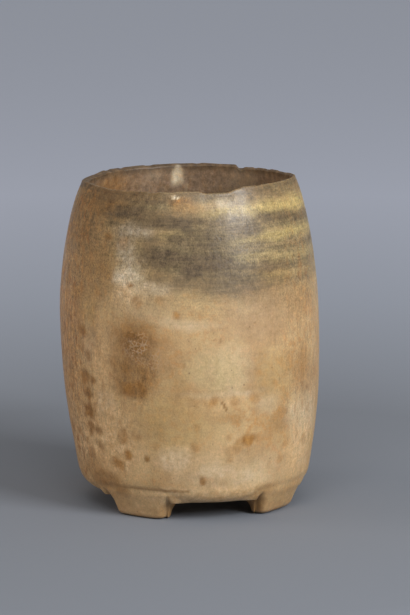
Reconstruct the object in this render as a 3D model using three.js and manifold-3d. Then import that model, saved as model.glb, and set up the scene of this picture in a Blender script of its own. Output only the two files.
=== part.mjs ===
// A barrel-shaped stone vase on four short feet, ground and bored out of one block of banded calcite.
//
// Millimetres, +Z up. The origin is on the ground under the middle of the belly, and the front is -Y.
// The one stone is given in five pieces: the hollowed body down to its flat underside, and each foot
// that the carver left standing below it. The feet meet the underside face to face.

import * as THREE from "three";
import { mergeVertices, toCreasedNormals } from "three/addons/utils/BufferGeometryUtils.js";
import Module from "manifold-3d";

const wasm = await Module();
wasm.setup();

// Heights
const RIM_HEIGHT = 141.6; // ground to the rim's mean level before it was worn
const BELLY_HEIGHT = 80.5; // ground to the widest girth
const FOOT_HEIGHT = 8; // ground to the underside
const LEDGE_RISE = 4.5; // underside to where a foot's face runs out into the body
const HEEL_RISE = 10; // underside to where the turned-in lower edge begins

// Outside radii
const RIM_RADIUS = 45.6;
const BELLY_RADIUS = 55.6;
const HEEL_RADIUS = 50.5;
const BASE_RADIUS = 43.8;

// How full the outside's curves are, as shares of the width or height between their ends
const HEEL_FULLNESS = 0.72;
const LOWER_FULLNESS = 0.52;
const UPPER_FULLNESS = 0.24;
const SHOULDER_FULLNESS = 0.72;

// The hollow
const LIP_THICKNESS = 2.3;
const LIP_ROUNDING = 0.7;
const LIP_SLOPE = 0.5; // how much lower the lip's inner side is worn
const BELLY_WALL = 6.8;
const HEEL_WALL = 7.6;
const FLOOR_THICKNESS = 9;
const FLOOR_CORNER = 13; // height of the bowl-shaped turn from wall to floor
const FLOOR_DISH = 1.2; // how much deeper the floor is at its middle

// Feet
const SOLE_WIDTH = 25; // along the base's edge
const SOLE_CORNER = 2.8; // plan radius of its corners
const SOLE_EDGE = 1.2; // worn rounding round it
const SOLE_INSET = 0.1; // its outer edge, in from the underside's
const FLARE_SIDE = 1.8; // how far each side spreads on the way up to the underside
const FLARE_BACK = 5;
const FLARE_BEND = 1.4; // over 1, the sides steepen towards the ground
const LEDGE_EDGE = 0.2; // how far the face's upper edge is drawn in
const ROOT_RISE = 2.2; // how far a foot's root runs on into the body above the ledge
const ROOT_TAPER = 2.2; // and how far it draws in on the way

// Azimuths are degrees round from the front, positive towards +X, and a foot's depth is its sole's,
// from the outer edge towards the axis
const FEET = [
  { name: "foot_front_left", azimuth: -44, depth: 7.5 },
  { name: "foot_front_right", azimuth: 45, depth: 6.5 },
  { name: "foot_rear_right", azimuth: 137, depth: 8 },
  { name: "foot_rear_left", azimuth: -138, depth: 8 },
];

// What a hand-ground vase has instead of perfect symmetry
const BASE_SHIFT_X = 2.2; // the base sits off the mouth's centre
const BASE_SHIFT_Y = -0.4;
const LEAN_TOP = 103; // and up to this height the wall leans over it
const BORE_SHIFT_X = 0.9; // the hollow is bored a little off centre too
const BORE_SHIFT_Y = -0.2;
const OVALNESS = 0.35; // the belly's longer half-axis, less its mean radius
const OVAL_AZIMUTH = 60;
const RIM_SLOPE = 1.25; // rise of the rim above its mean level, at its highest side
const RIM_SLOPE_AZIMUTH = 43;
const RIM_SLOPE_DEPTH = 34; // how far down the wall the slope is felt
const RIM_WEAR_DEPTH = 9; // and how far down the wear

// What has worn and flaked off the rim: from one azimuth to another, how deep, and over how many
// degrees it fades in and out
const RIM_WEAR = [
  { from: 62, to: 142, depth: 1.2, fadeIn: 36, fadeOut: 4 },
  { from: 84, to: 118, depth: 1.5, fadeIn: 16, fadeOut: 12 },
  { from: 132, to: 142, depth: 1.8, fadeIn: 5, fadeOut: 3 },
  { from: 138, to: 157, depth: 0.3, fadeIn: 4, fadeOut: 10 },
  { from: -138, to: -80, depth: 0.9, fadeIn: 14, fadeOut: 18 },
  { from: -92, to: 20, depth: 1, fadeIn: 44, fadeOut: 6 },
  { from: -38, to: -23, depth: 1.4, fadeIn: 6, fadeOut: 6 },
  { from: -10, to: 19, depth: 2.1, fadeIn: 9, fadeOut: 10 },
];

// Mesh fineness
const ROUND_STEPS = 96;
const CORNER_STEPS = 4;
const EDGE_STEPS = 3;
const SIDE_STEPS = 5;
const FLARE_STEPS = 4;
const CREASE_ANGLE = 35;

const STONE = { color: 0xc29a6b, roughness: 0.55, metalness: 0 };

const FULL_TURN = 360;
const { degToRad, radToDeg, euclideanModulo, smoothstep } = THREE.MathUtils;
const point = (r, z) => new THREE.Vector2(r, z);
const bezier = (a, b, c, d, steps) => new THREE.CubicBezierCurve(a, b, c, d).getPoints(steps);
const chain = (...runs) => runs.flatMap((run, i) => (i === 0 ? run : run.slice(1)));
const last = (run) => run[run.length - 1];

// The outside, as radius and height, from the middle of the underside up to the lip's outer edge.
function outerProfile() {
  const heelHeight = FOOT_HEIGHT + HEEL_RISE;
  const lower = BELLY_HEIGHT - heelHeight;
  const upper = RIM_HEIGHT - BELLY_HEIGHT;
  const turnIn = HEEL_RADIUS - BASE_RADIUS;
  const heelLean = (2 * (BELLY_RADIUS - HEEL_RADIUS)) / lower; // radius gained per mm of height
  const base = point(BASE_RADIUS, FOOT_HEIGHT);
  const heel = point(HEEL_RADIUS, heelHeight);
  const belly = point(BELLY_RADIUS, BELLY_HEIGHT);
  const lipEdge = point(RIM_RADIUS, RIM_HEIGHT - LIP_ROUNDING);
  const underside = [0, 0.5, 1].map((t) => point(t * BASE_RADIUS, FOOT_HEIGHT));
  const heelCurve = bezier(
    base,
    point(BASE_RADIUS + HEEL_FULLNESS * turnIn, FOOT_HEIGHT + 0.2 * HEEL_RISE),
    point(HEEL_RADIUS - 0.5 * HEEL_RISE * heelLean, FOOT_HEIGHT + 0.5 * HEEL_RISE),
    heel,
    6,
  );
  const lowerCurve = bezier(
    heel,
    point(HEEL_RADIUS + 0.3 * lower * heelLean, heelHeight + 0.3 * lower),
    point(BELLY_RADIUS, BELLY_HEIGHT - LOWER_FULLNESS * lower),
    belly,
    8,
  );
  const shoulder = RIM_RADIUS + SHOULDER_FULLNESS * (BELLY_RADIUS - RIM_RADIUS);
  const upperCurve = bezier(
    belly,
    point(BELLY_RADIUS, BELLY_HEIGHT + UPPER_FULLNESS * upper),
    point(shoulder, RIM_HEIGHT - 0.3 * upper),
    lipEdge,
    10,
  );
  return chain(underside, heelCurve, lowerCurve, upperCurve);
}

// Over the lip, from its outer edge to its lower inner one.
function lipProfile() {
  const mouth = RIM_RADIUS - LIP_THICKNESS;
  const innerTop = RIM_HEIGHT - LIP_SLOPE;
  const corner = 0.3 * LIP_ROUNDING; // a quarter circle passes this far in from its square corner
  return [
    point(RIM_RADIUS, RIM_HEIGHT - LIP_ROUNDING),
    point(RIM_RADIUS - corner, RIM_HEIGHT - corner),
    point(RIM_RADIUS - LIP_ROUNDING, RIM_HEIGHT),
    point(mouth + LIP_ROUNDING, innerTop),
    point(mouth + corner, innerTop - corner),
    point(mouth, innerTop - LIP_ROUNDING),
  ];
}

// From the lip's inner edge down the hollow to the middle of its floor.
function innerProfile() {
  const mouth = last(lipProfile());
  const belly = BELLY_RADIUS - BELLY_WALL;
  const heel = HEEL_RADIUS - HEEL_WALL;
  const floor = FOOT_HEIGHT + FLOOR_THICKNESS;
  const cornerTop = floor + FLOOR_CORNER;
  const upper = RIM_HEIGHT - BELLY_HEIGHT;
  const lower = BELLY_HEIGHT - cornerTop;
  const shoulder = bezier(
    mouth,
    point(mouth.x + 0.3 * (belly - mouth.x), RIM_HEIGHT - 0.25 * upper),
    point(belly, BELLY_HEIGHT + 0.5 * upper),
    point(belly, BELLY_HEIGHT),
    7,
  );
  const wall = bezier(
    point(belly, BELLY_HEIGHT),
    point(belly, BELLY_HEIGHT - 0.4 * lower),
    point(heel + 0.25 * (belly - heel), cornerTop + 0.3 * lower),
    point(heel, cornerTop),
    5,
  );
  const corner = bezier(
    point(heel, cornerTop),
    point(heel - 0.1 * FLOOR_CORNER, cornerTop - 0.6 * FLOOR_CORNER),
    point(heel - 0.55 * FLOOR_CORNER, floor),
    point(heel - 1.2 * FLOOR_CORNER, floor),
    5,
  );
  const dish = [0, 0.6, 1].map((t) => point((1 - t) * last(corner).x, floor - t * FLOOR_DISH));
  return chain(shoulder, wall, corner, dish);
}

// How much of the rim's height is worn away at an azimuth.
function rimWear(azimuth) {
  const worn = RIM_WEAR.map(({ from, to, depth, fadeIn, fadeOut }) => {
    const past = euclideanModulo(azimuth - from, FULL_TURN);
    const width = to - from;
    return depth * smoothstep(past, 0, fadeIn) * (1 - smoothstep(past, width - fadeOut, width));
  });
  return Math.max(...worn);
}

// Moves a point of the true barrel to where the hand-ground one has it.
function handGround(p, isBore) {
  const azimuth = radToDeg(Math.atan2(p.x, -p.y));
  const oval = (OVALNESS / BELLY_RADIUS) * Math.cos(degToRad(2 * (azimuth - OVAL_AZIMUTH)));
  const lowDown = 1 - smoothstep(p.z, FOOT_HEIGHT, LEAN_TOP);
  const stretch = 1 + oval * (1 - lowDown);
  const slope = RIM_SLOPE * Math.cos(degToRad(azimuth - RIM_SLOPE_AZIMUTH));
  const sloped = smoothstep(p.z, RIM_HEIGHT - RIM_SLOPE_DEPTH, RIM_HEIGHT);
  const worn = smoothstep(p.z, RIM_HEIGHT - RIM_WEAR_DEPTH, RIM_HEIGHT);
  p.x = p.x * stretch + lowDown * BASE_SHIFT_X + (isBore ? BORE_SHIFT_X : 0);
  p.y = p.y * stretch + lowDown * BASE_SHIFT_Y + (isBore ? BORE_SHIFT_Y : 0);
  p.z += sloped * slope - worn * rimWear(azimuth);
}

// The hollowed barrel without its feet.
function barrelGeometry() {
  const outer = outerProfile();
  const lip = lipProfile();
  const profile = chain(outer, lip, innerProfile());
  const boreStart = outer.length - 1 + lip.length / 2; // the lip's inner half moves with the hollow
  const geometry = new THREE.LatheGeometry(profile, ROUND_STEPS).rotateX(Math.PI / 2);
  const positions = geometry.getAttribute("position");
  const p = new THREE.Vector3();
  for (let i = 0; i < positions.count; i++) {
    p.fromBufferAttribute(positions, i);
    handGround(p, i % profile.length >= boreStart);
    positions.setXYZ(i, p.x, p.y, p.z);
  }
  return geometry;
}

// A rounded rectangle whose outer side lies on v = 0, anticlockwise, as u along and v outwards.
function roundedRectangle(width, depth, corner) {
  const u = width / 2 - corner;
  const arcs = [
    [u, -corner, 0],
    [-u, -corner, 90],
    [-u, corner - depth, 180],
    [u, corner - depth, 270],
  ].map(([cu, cv, from]) =>
    Array.from({ length: CORNER_STEPS + 1 }, (_, i) => {
      const a = degToRad(from + (90 * i) / CORNER_STEPS);
      return point(cu + corner * Math.cos(a), cv + corner * Math.sin(a));
    }),
  );
  return arcs.flatMap((arc, i) => {
    const start = arc[CORNER_STEPS];
    const end = arcs[(i + 1) % arcs.length][0];
    const side = Array.from({ length: SIDE_STEPS - 1 }, (_, k) =>
      start.clone().lerp(end, (k + 1) / SIDE_STEPS),
    );
    return [...arc, ...side];
  });
}

// A foot's outer radius at a height: its face leans out until it meets the body at the ledge.
function footOuterRadius(z) {
  const ledge = FOOT_HEIGHT + LEDGE_RISE;
  const profile = outerProfile();
  const above = profile.findIndex((p) => p.y > ledge);
  const [a, b] = [profile[above - 1], profile[above]];
  const ledgeRadius = a.x + ((b.x - a.x) * (ledge - a.y)) / (b.y - a.y);
  const soleRadius = BASE_RADIUS - SOLE_INSET;
  return soleRadius + ((ledgeRadius - soleRadius) * z) / ledge;
}

// A foot's section at a height, drawn in by inset all round, for a foot at the front of the base.
function footRing(soleDepth, z, inset = 0) {
  const spread = Math.min(z / FOOT_HEIGHT, 1) ** FLARE_BEND;
  const width = SOLE_WIDTH + 2 * FLARE_SIDE * spread - 2 * inset;
  const depth = soleDepth + FLARE_BACK * spread - 2 * inset;
  const outer = footOuterRadius(z);
  return roundedRectangle(width, depth, SOLE_CORNER - inset).map(({ x: u, y: v }) => {
    const distance = outer - inset + v;
    return new THREE.Vector3(-distance * Math.sin(u / outer), -distance * Math.cos(u / outer), z);
  });
}

// A closed skin over rings that all run anticlockwise, lowest first.
function loft(rings) {
  const count = rings[0].length;
  const middle = (ring) => ring.reduce((sum, p) => sum.add(p), new THREE.Vector3()).divideScalar(count);
  const points = [...rings.flat(), middle(rings[0]), middle(rings[rings.length - 1])];
  const bottomMiddle = points.length - 2;
  const topMiddle = points.length - 1;
  const topStart = (rings.length - 1) * count;
  const faces = [];
  for (let i = 0; i < count; i++) {
    const next = (i + 1) % count;
    faces.push(bottomMiddle, next, i, topMiddle, topStart + i, topStart + next);
    for (let low = 0; low < topStart; low += count) {
      const high = low + count;
      faces.push(low + i, low + next, high + next, low + i, high + next, high + i);
    }
  }
  return new THREE.BufferGeometry().setFromPoints(points).setIndex(faces);
}

// The part of a foot that stands below the underside.
function footGeometry(soleDepth) {
  const rounding = Array.from({ length: EDGE_STEPS + 1 }, (_, i) => {
    const a = degToRad((90 * i) / EDGE_STEPS);
    return footRing(soleDepth, SOLE_EDGE * (1 - Math.cos(a)), SOLE_EDGE * (1 - Math.sin(a)));
  });
  const flare = Array.from({ length: FLARE_STEPS }, (_, i) => {
    const t = (i + 1) / FLARE_STEPS;
    return footRing(soleDepth, SOLE_EDGE + t * (FOOT_HEIGHT - SOLE_EDGE));
  });
  return loft([...rounding, ...flare]);
}

// The part that stays on the body: the foot's face carried on up until the body's curve covers it.
function footRootGeometry(soleDepth) {
  const ledge = FOOT_HEIGHT + LEDGE_RISE;
  return loft([
    footRing(soleDepth, FOOT_HEIGHT),
    footRing(soleDepth, ledge, LEDGE_EDGE),
    footRing(soleDepth, ledge + ROOT_RISE, ROOT_TAPER),
  ]);
}

// Turns and moves a foot's geometry from the front to its place under the shifted base.
function placeFoot(object, azimuth) {
  object.position.set(BASE_SHIFT_X, BASE_SHIFT_Y, 0);
  object.rotation.z = degToRad(azimuth);
  object.updateMatrix();
  return object;
}

function solidOf(geometry) {
  const bare = geometry.clone().deleteAttribute("normal").deleteAttribute("uv");
  const merged = mergeVertices(bare, 1e-4);
  const vertProperties = new Float32Array(merged.getAttribute("position").array);
  const triVerts = new Uint32Array(merged.index.array);
  return new wasm.Manifold(new wasm.Mesh({ numProp: 3, vertProperties, triVerts }));
}

function geometryOf(solid) {
  const { vertProperties, triVerts } = solid.getMesh();
  const geometry = new THREE.BufferGeometry();
  geometry.setAttribute("position", new THREE.BufferAttribute(vertProperties, 3));
  geometry.setIndex(new THREE.BufferAttribute(triVerts, 1));
  return geometry;
}

function stoneMesh(name, geometry) {
  const stone = new THREE.MeshStandardMaterial(STONE);
  const mesh = new THREE.Mesh(toCreasedNormals(geometry, degToRad(CREASE_ANGLE)), stone);
  mesh.name = name;
  return mesh;
}

// The body, with the roots of the feet as one stone with it.
function vaseBody() {
  let body = solidOf(barrelGeometry());
  for (const { azimuth, depth } of FEET) {
    const { matrix } = placeFoot(new THREE.Object3D(), azimuth);
    body = body.add(solidOf(footRootGeometry(depth).applyMatrix4(matrix)));
  }
  return stoneMesh("vase_body", geometryOf(body));
}

function foot({ name, azimuth, depth }) {
  return placeFoot(stoneMesh(name, footGeometry(depth)), azimuth);
}

const vase = new THREE.Group();
vase.add(vaseBody(), ...FEET.map(foot));

export default vase;
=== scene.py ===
"""A barrel-shaped vase on four short feet, ground and bored out of one block of banded calcite."""

import bpy
import numpy as np
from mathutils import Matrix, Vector


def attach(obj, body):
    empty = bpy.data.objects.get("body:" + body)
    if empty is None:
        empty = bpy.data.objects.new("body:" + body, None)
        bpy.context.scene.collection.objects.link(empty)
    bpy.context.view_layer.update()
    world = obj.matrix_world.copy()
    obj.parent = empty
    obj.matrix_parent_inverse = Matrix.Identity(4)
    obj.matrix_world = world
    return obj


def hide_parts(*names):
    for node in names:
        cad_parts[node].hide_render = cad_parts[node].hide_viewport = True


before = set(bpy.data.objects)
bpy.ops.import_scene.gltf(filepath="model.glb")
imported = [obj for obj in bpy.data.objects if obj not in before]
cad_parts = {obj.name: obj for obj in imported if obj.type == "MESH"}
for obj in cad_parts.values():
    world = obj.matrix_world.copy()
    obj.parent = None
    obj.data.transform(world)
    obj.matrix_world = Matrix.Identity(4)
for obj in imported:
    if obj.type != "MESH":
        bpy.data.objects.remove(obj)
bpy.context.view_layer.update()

MM = 0.001

# The stone's sizes, in mm. Azimuths are degrees round from the front (-Y), positive towards +X.
RIM_HEIGHT = 141.6
BELLY_HEIGHT = 80.5
FOOT_HEIGHT = 8.0
LEDGE_RISE = 4.5
HEEL_RISE = 10.0
RIM_RADIUS = 45.6
BELLY_RADIUS = 55.6
HEEL_RADIUS = 50.5
BASE_RADIUS = 43.8
HEEL_FULLNESS = 0.72
LOWER_FULLNESS = 0.52
UPPER_FULLNESS = 0.24
SHOULDER_FULLNESS = 0.72
LIP_THICKNESS = 2.3
LIP_ROUNDING = 0.7
LIP_SLOPE = 0.5
BELLY_WALL = 6.8
HEEL_WALL = 7.6
FLOOR_THICKNESS = 9.0
FLOOR_CORNER = 13.0
FLOOR_DISH = 1.2
SOLE_WIDTH = 25.2
SOLE_CORNER = 4.2
SOLE_INSET = 0.1
FLARE_SIDE = 1.5
FLARE_BACK = 5.0
FLARE_BEND = 1.4
# The feet: azimuth, depth from front to back, how far the edge of the sole is worn round
FEET = ((-44.0, 7.5, 1.8), (45.0, 6.5, 2.6), (137.0, 8.0, 2.0), (-138.0, 8.0, 2.0))
FOOT_SIDE = SOLE_WIDTH / 2 + FLARE_SIDE  # from the middle of a foot to its side under the body
SOLE_RADIUS = BASE_RADIUS - SOLE_INSET
FULL_LEDGE = FOOT_HEIGHT + LEDGE_RISE
HEEL_HEIGHT = FOOT_HEIGHT + HEEL_RISE

# What hand grinding left uneven
BASE_SHIFT = (2.2, -0.4)
LEAN_TOP = 103.0
BORE_SHIFT = (0.9, -0.2)
OVALNESS = 0.35
OVAL_AZIMUTH = 60.0
RIM_SLOPE = 1.25
RIM_SLOPE_AZIMUTH = 43.0
RIM_SLOPE_DEPTH = 34.0
RIM_WEAR_DEPTH = 9.0
FACE_FLATNESS = 0.35  # how much of a foot's curve its ground face has lost towards its sides
LEDGE_FADE = 11.0  # how far beyond a foot its ledge runs out along the lower edge
LEDGE_SWAY = 0.9  # how far the ledge wanders up and down, in bends of the next size
LEDGE_BEND = 9.0
# The groove over the ledge and the swell under it: depth, distance above the ledge, half width
LEDGE_GROOVE = (0.28, 0.7, 1.4)
LEDGE_SWELL = (0.14, -1.8, 1.6)

# Wear round the rim: azimuth from and to, depth, degrees to fade in and to fade out
RIM_WEAR = (
    (62, 142, 1.2, 36, 4), (84, 118, 1.5, 16, 12), (132, 142, 1.8, 5, 3), (138, 157, 0.3, 4, 10),
    (-138, -80, 0.9, 14, 18), (-92, 20, 1.0, 44, 6), (-38, -23, 1.4, 6, 6), (-10, 19, 2.1, 9, 10),
)
# Small flakes off its edge: azimuth, width in degrees, depth
RIM_FLAKES = (
    (-21, 8, 0.35), (29, 5, 0.3), (118, 6, 0.3), (128, 4, 0.3), (-168, 7, 0.35), (164, 5, 0.25),
    (-139, 6, 0.35), (-150, 4, 0.3), (-58, 6, 0.25),
)
FLAKE_REACH = 2.5  # how far down from the edge they are felt
RAGGED_DEPTH = 0.35  # of the ragged edge between them, which runs in fine bends within wide ones
RAGGED_BENDS = (3.0, 14.0)

# The grid of points over the stone: columns round it, rows from the underside up and down into the hollow
COLUMNS = 440
CROWDING = 1.3  # how much closer the columns stand at the sides of the feet
CROWDED_WIDTH = 2.4  # mm to either side of those
UNDER_ROWS = 24
FACE_ROWS = 24
WALL_ROWS = 119
LIP_ROWS = 9
HOLLOW_ROWS = 50

# Beds of the stone that crop out round its upper part. Each runs through its knots: azimuth, height,
# half thickness, strength.
GREY_LAYERS = (
    (
        (-72, 130, 3, 0), (-60, 130.5, 4, 0.6), (-50, 131.5, 5, 0.95), (-40, 131.5, 5, 1),
        (-34, 130.5, 4.5, 0.9), (-20, 129, 5, 0.9), (-10, 128, 5, 0.9), (0, 127.8, 4, 0.8),
        (14, 128, 3, 0.85), (32, 128, 3.2, 1), (45, 128, 2.8, 0.95), (59, 126.6, 2.8, 0.85),
        (90, 126, 3, 0.5), (130, 127, 3, 0.35), (235, 128, 3, 0),
    ),
    (
        (-34, 117, 3, 0), (-26, 119.5, 2, 0.8), (-15, 120.3, 2, 0.9), (-8, 118, 2.6, 0.75),
        (8, 117.2, 3, 0.7), (26, 117.2, 2.6, 0.6), (59, 116.2, 2.4, 0.6), (130, 115, 3, 0.3),
        (210, 117, 3, 0),
    ),
    (
        (-36, 113, 3, 0), (-31, 114, 4.5, 0.9), (-22, 114.5, 5, 1), (-12, 113, 5, 1),
        (-6, 111.5, 5, 0.95), (3, 110, 4.5, 0.9), (23, 109, 3.6, 0.65), (56, 107.4, 3.4, 0.45),
        (90, 108, 3, 0.35), (150, 109, 3, 0.25), (200, 110, 3, 0),
    ),
    (
        (-20, 106, 2, 0), (-12, 104.8, 3, 0.6), (-6, 103.8, 3, 0.75), (5, 102.4, 3, 0.75),
        (16, 102, 3, 0.7), (28, 102, 2.8, 0.6), (45, 102.5, 2.6, 0.45), (120, 103, 2, 0),
    ),
    (
        (-100, 138, 4, 0.3), (-60, 138, 4.5, 0.75), (-30, 138, 4, 0.75), (0, 139.2, 2.4, 0.6),
        (9, 140, 2.2, 0.6), (20, 138.5, 3.2, 0.9), (45, 138.5, 3.2, 0.65), (70, 138.5, 3.5, 0.5),
        (120, 138.5, 3, 0.4), (180, 139, 3, 0.3), (260, 138, 4, 0.3),
    ),
)
OCHRE_LAYERS = (
    (
        (-8, 131.5, 1.4, 0), (2, 131.5, 2, 0.7), (15, 132.3, 2.8, 0.6), (30, 132, 3.2, 1),
        (50, 132.6, 3.6, 1), (64, 131.5, 3.2, 0.8), (100, 132, 3, 0.5), (150, 132, 3, 0.35),
        (215, 132, 3, 0),
    ),
    (
        (-14, 122.5, 1.5, 0), (-10, 122.6, 1.5, 0.4), (0, 121.4, 2, 0.5), (13, 120.4, 1.6, 0.6),
        (30, 120.9, 1.8, 0.7), (44, 121.5, 2, 0.7), (56, 121, 2, 0.6), (90, 120.5, 2, 0.4),
        (180, 121, 2, 0),
    ),
    (
        (6, 113.2, 1, 0), (15, 113.5, 2, 0.25), (30, 113.3, 2.4, 0.25), (45, 112.6, 2.2, 0.25),
        (62, 111.4, 2, 0.25), (140, 111, 2, 0),
    ),
    (
        (-4, 105.5, 1, 0), (7, 105.6, 1.6, 0.4), (20, 105.2, 1.8, 0.45), (35, 104.5, 2, 0.4),
        (80, 104, 2, 0),
    ),
)

# Soft patches, from the rim down: azimuth, height, half width in degrees, half height, strength
OLIVE_PATCHES = (
    (50, 140, 30, 3.5, 0.85), (8, 139, 22, 4.5, 0.8), (-28, 137, 26, 7, 0.9), (-46, 130, 22, 10, 0.8),
    (60, 120, 28, 20, 0.95), (24, 119, 48, 22, 1), (-12, 118, 24, 15, 1), (108, 117, 40, 20, 0.8),
    (-170, 114, 40, 16, 0.5), (-40, 114, 20, 20, 0.75),
)
GREY_PATCHES = (
    (-76, 137, 20, 6, 0.5), (3.5, 136.5, 2.6, 4, 0.35), (16, 136, 10, 3, 0.45),
    (-40, 131.5, 13, 5.5, 0.85), (-50, 131, 9, 6, 0.8), (-25, 128.8, 12, 4, 0.9),
    (-76, 128, 26, 18, 0.42), (-20, 125, 5, 2, 0.4), (15, 124.5, 13, 4.5, 0.95),
    (-62, 124, 14, 12, 0.22), (-17.5, 121.5, 10, 4, 0.85), (-46, 121, 10, 5, 0.4),
    (-30, 121, 9, 4.5, 0.55), (-19, 121, 10, 4.5, 0.7), (-4, 121, 20, 9, 0.8), (-29, 120, 8, 6, 0.8),
    (-4, 118.5, 12, 5, 0.9), (-22, 114.7, 13, 5.5, 1), (-31, 114, 6, 4, 0.8), (-12, 112.5, 8, 5, 0.9),
    (-7, 112, 6, 8, 1), (0, 112, 14, 6.5, 1), (-11, 111, 9, 7, 0.95), (-23, 107.5, 9, 4.5, 0.5),
    (-12, 104.5, 11, 4.5, 0.75), (8, 103.5, 24, 7, 0.75), (-11, 103, 9, 4, 0.45),
)
OCHRE_PATCHES = (
    (-6, 126, 5, 3, 0.5), (-18, 123.5, 12, 2, 0.3), (2, 122.5, 12, 4, 0.2), (-2, 118, 7, 3, 0.2),
    (33, 102.5, 10, 2.5, 0.3), (172, 97, 24, 9, 0.35), (-62, 88, 6, 10, 0.25), (0, 66, 15, 11, 0.4),
    (-5, 62, 20, 8, 0.2), (28, 62, 12, 14, 0.2), (105, 61, 30, 20, 0.3), (-18, 45, 22, 16, 0.25),
    (62, 29, 5, 6, 0.35),
)
# Honey-coloured stone, and painted light: (-54, 34), (-80, 33) and (-4, 11), low on the stone, are painted
# light from the floor
HONEY_AND_PAINTED_LIGHT_PATCHES = (
    (-39, 98, 9, 6, 0.6), (-80, 64, 12, 26, 0.4), (-52, 60, 8, 24, 0.7), (0, 53, 16, 5, 0.4),
    (-54, 34, 22, 22, 1), (-80, 33, 12, 16, 0.6), (-18, 29, 16, 8, 0.4), (2, 28, 16, 8, 0.3),
    (52, 27, 18, 13, 0.8), (-4, 11, 52, 6, 0.85),
)
ASH_PATCHES = (
    (12, 131, 9, 8, 0.35), (-39, 125, 9, 4, 0.95), (-41, 116, 6, 8, 0.9), (-38, 112, 10, 5, 0.35),
    (-26, 101, 14, 4, 0.25), (-30, 93, 16, 6, 0.25), (22, 88, 22, 14, 0.25),
)
# Cream stone, and painted light: (14, 131) is painted highlight, (7, 136.5) is partly pale stone and
# partly painted highlight, and (-14, 12) at the lower edge is painted light from the floor
CREAM_AND_PAINTED_LIGHT_PATCHES = (
    (7, 136.5, 3.4, 3.4, 0.5), (14, 131, 8, 5, 0.6), (-36, 125, 8, 3, 0.3), (-40, 105.5, 9, 5.5, 1),
    (-28, 102.5, 10, 3, 0.45), (-38, 100, 9, 5, 0.45), (-112, 97, 16, 7, 0.35), (-13, 87, 16, 3, 0.3),
    (140, 81, 26, 12, 0.4), (-62, 76, 5, 12, 0.25), (4, 66, 17, 12, 0.4), (-150, 61, 22, 16, 0.45),
    (5, 57, 20, 2.2, 0.45), (-53, 51, 6, 6, 0.5), (24, 51, 8, 5, 0.4), (46, 44, 12, 8, 0.45),
    (-86, 42, 10, 22, 0.3), (52, 40, 16, 20, 0.4), (160, 35, 24, 8, 0.4), (-76, 32, 10, 16, 0.3),
    (-19.5, 28.5, 10, 6, 0.6), (-1, 24, 12, 5, 0.55), (8, 22, 34, 12, 0.3), (14, 20, 10, 5, 0.45),
    (-14, 12, 26, 5, 0.4),
)
# Brown stains, and painted shade: (45, 5), (26, 4), (-27, 3) and (-25.5, 3) darken the feet's shaded sides
UMBER_AND_SHADE_PATCHES = (
    (-36, 139, 16, 4, 0.55), (-62, 136, 26, 9, 0.85), (-74, 128, 22, 16, 0.6),
    (-112, 112, 34, 50, 0.12), (-60, 112, 12, 32, 0.42), (-160, 109, 26, 9, 0.45),
    (28, 105, 14, 7, 0.55), (34, 102, 10, 5, 0.5), (-50, 97, 14, 10, 0.12), (26, 97, 16, 9, 0.5),
    (16, 96, 16, 6, 0.2), (-68, 93, 9, 14, 0.35), (36, 92, 20, 12, 0.2), (-45, 82.5, 9, 9, 0.25),
    (-76, 79, 14, 12, 0.3), (-36, 77, 13, 14, 0.9), (-37, 66, 13, 14, 0.8), (-28, 66, 7, 12, 0.3),
    (22, 64, 12, 12, 0.4), (-82, 62, 8, 12, 0.3), (47, 62, 12, 14, 0.4), (-50, 60, 7, 14, 0.12),
    (36, 60, 8, 14, 0.35), (-38, 58.2, 10, 5, 1), (24, 52, 12, 6, 0.25), (128, 51, 14, 22, 0.4),
    (8, 46, 9, 4, 0.2), (-34, 44, 14, 10, 0.25), (35, 43.5, 5, 7, 0.3), (32, 42.5, 8, 6, 0.4),
    (-120, 40, 34, 60, 0.2), (88, 31, 16, 10, 0.3), (12, 29, 10, 5, 0.25), (-78, 20, 12, 7, 0.2),
    (-70, 19, 10, 6, 0.4), (-60.5, 15.5, 12, 5, 0.7), (-52, 12, 5, 3, 0.6), (28, 12, 10, 4, 0.5),
    (45, 5, 18, 9, 0.4), (26, 4, 5.5, 8, 0.85), (-27, 3, 7, 3, 0.35), (-25.5, 3, 3, 6, 0.55),
)
RUST_PATCHES = (
    (-16, 136.5, 8, 4.5, 0.45), (-9, 134.5, 7, 2.5, 0.35), (-92, 72, 32, 60, 0.55),
    (50, 66, 6, 12, 0.2), (-36.5, 59, 8, 2.6, 0.5), (24, 44, 10, 4, 0.3), (28, 40, 7, 6, 0.25),
    (66, 23, 7, 10, 0.25), (-60, 20, 20, 12, 0.2), (-86, 18, 18, 8, 0.2), (2, 10.3, 30, 3, 0.15),
)
HOLLOW_RUST = ((-140, 134, 22, 8, 0.2),)
HOLLOW_UMBER = ((-139, 133, 12, 8, 0.5), (-160, 94, 60, 24, 0.3))
HOLLOW_PALE = ((175.5, 135.8, 3.6, 4.4, 0.85), (-170, 137, 7, 1.8, 0.15), (138, 133, 14, 7, 0.12))
CRUST_PATCHES = ((-34.5, 76.4, 7.5, 7.5, 1), (-27, 72, 5, 8, 0.6))

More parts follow.
